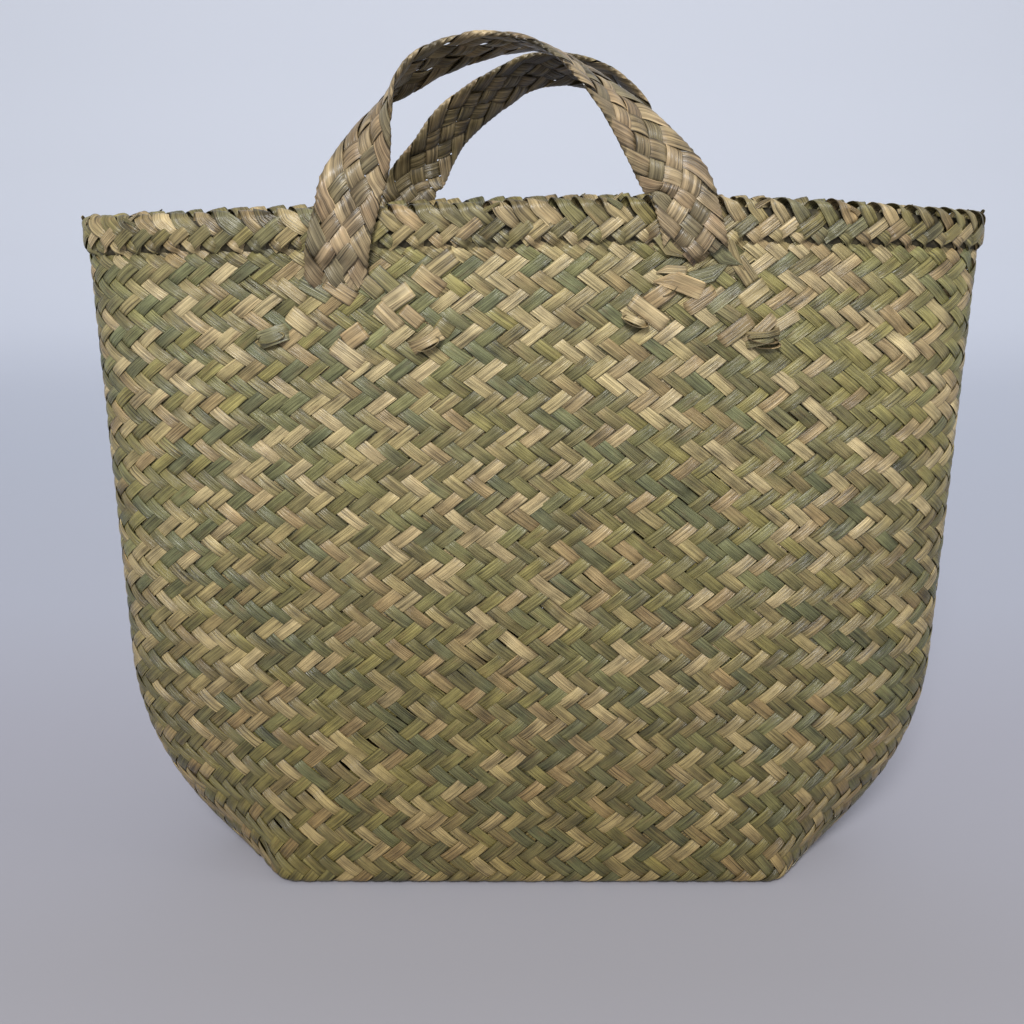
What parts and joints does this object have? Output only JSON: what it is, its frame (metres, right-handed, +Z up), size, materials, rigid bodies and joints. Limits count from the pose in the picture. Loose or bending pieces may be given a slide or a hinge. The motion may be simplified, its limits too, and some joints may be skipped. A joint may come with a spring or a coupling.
{
  "type": "woven carry bag",
  "caption": "Open-topped carry bag of flat leaf strips in a diagonal twill weave, with a plaited rim and twisted flat strap handles that fold outwards.",
  "frame": {"origin": "on the floor under the middle of the base panel", "axes": "+Z up, +X along the bag's width to the right seen from the front, and the front faces -Y"},
  "size_m": [0.4024, 0.131, 0.3911],
  "materials": {
    "woven_wall": "dried leaf strips in many greens and straw tones, satin",
    "plaited_rim": "folded leaf strips in straw and green tones, satin",
    "plaited_strap": "tan leaf strips, satin",
    "tucked_strands": "tan leaf strips with raw ends, satin"
  },
  "bodies": {
    "bag": {"base_panel": "woven_wall", "front_wall": "woven_wall", "right_front_corner_wall": "woven_wall", "right_front_end_wall": "woven_wall", "right_back_end_wall": "woven_wall", "right_back_corner_wall": "woven_wall", "back_wall": "woven_wall", "left_back_corner_wall": "woven_wall", "left_back_end_wall": "woven_wall", "left_front_end_wall": "woven_wall", "left_front_corner_wall": "woven_wall", "front_rim_plait": "plaited_rim", "right_front_corner_rim_plait": "plaited_rim", "right_front_end_rim_plait": "plaited_rim", "right_back_end_rim_plait": "plaited_rim", "right_back_corner_rim_plait": "plaited_rim", "back_rim_plait": "plaited_rim", "left_back_corner_rim_plait": "plaited_rim", "left_back_end_rim_plait": "plaited_rim", "left_front_end_rim_plait": "plaited_rim", "left_front_corner_rim_plait": "plaited_rim", "front_left_handle_root": "plaited_strap", "front_right_handle_root": "plaited_strap", "back_left_handle_root": "plaited_strap", "back_right_handle_root": "plaited_strap", "front_left_tail_left_1": "tucked_strands", "front_left_tail_left_2": "tucked_strands", "front_left_tail_left_3": "tucked_strands", "front_left_tail_left_4": "tucked_strands", "front_left_tail_right_1": "tucked_strands", "front_left_tail_right_2": "tucked_strands", "front_left_tail_right_3": "tucked_strands", "front_left_tail_right_4": "tucked_strands", "front_right_tail_left_1": "tucked_strands", "front_right_tail_left_2": "tucked_strands", "front_right_tail_left_3": "tucked_strands", "front_right_tail_left_4": "tucked_strands", "front_right_tail_right_1": "tucked_strands", "front_right_tail_right_2": "tucked_strands", "front_right_tail_right_3": "tucked_strands", "front_right_tail_right_4": "tucked_strands", "back_left_tail_left_1": "tucked_strands", "back_left_tail_left_2": "tucked_strands", "back_left_tail_left_3": "tucked_strands", "back_left_tail_left_4": "tucked_strands", "back_left_tail_right_1": "tucked_strands", "back_left_tail_right_2": "tucked_strands", "back_left_tail_right_3": "tucked_strands", "back_left_tail_right_4": "tucked_strands", "back_right_tail_left_1": "tucked_strands", "back_right_tail_left_2": "tucked_strands", "back_right_tail_left_3": "tucked_strands", "back_right_tail_left_4": "tucked_strands", "back_right_tail_right_1": "tucked_strands", "back_right_tail_right_2": "tucked_strands", "back_right_tail_right_3": "tucked_strands", "back_right_tail_right_4": "tucked_strands"},
    "front_handle": {"front_handle_strap": "plaited_strap"},
    "back_handle": {"back_handle_strap": "plaited_strap"}
  },
  "joints": [
    {"name": "front_handle_swing", "type": "hinge", "parent": "bag", "child": "front_handle", "pos_m": [-0.0075, -0.05176, 0.3264], "axis": [1, 0, 0], "range_deg": [-40, 120]},
    {"name": "back_handle_swing", "type": "hinge", "parent": "bag", "child": "back_handle", "pos_m": [0.0075, 0.05176, 0.3264], "axis": [-1, 0, 0], "range_deg": [-40, 120]}
  ]
}
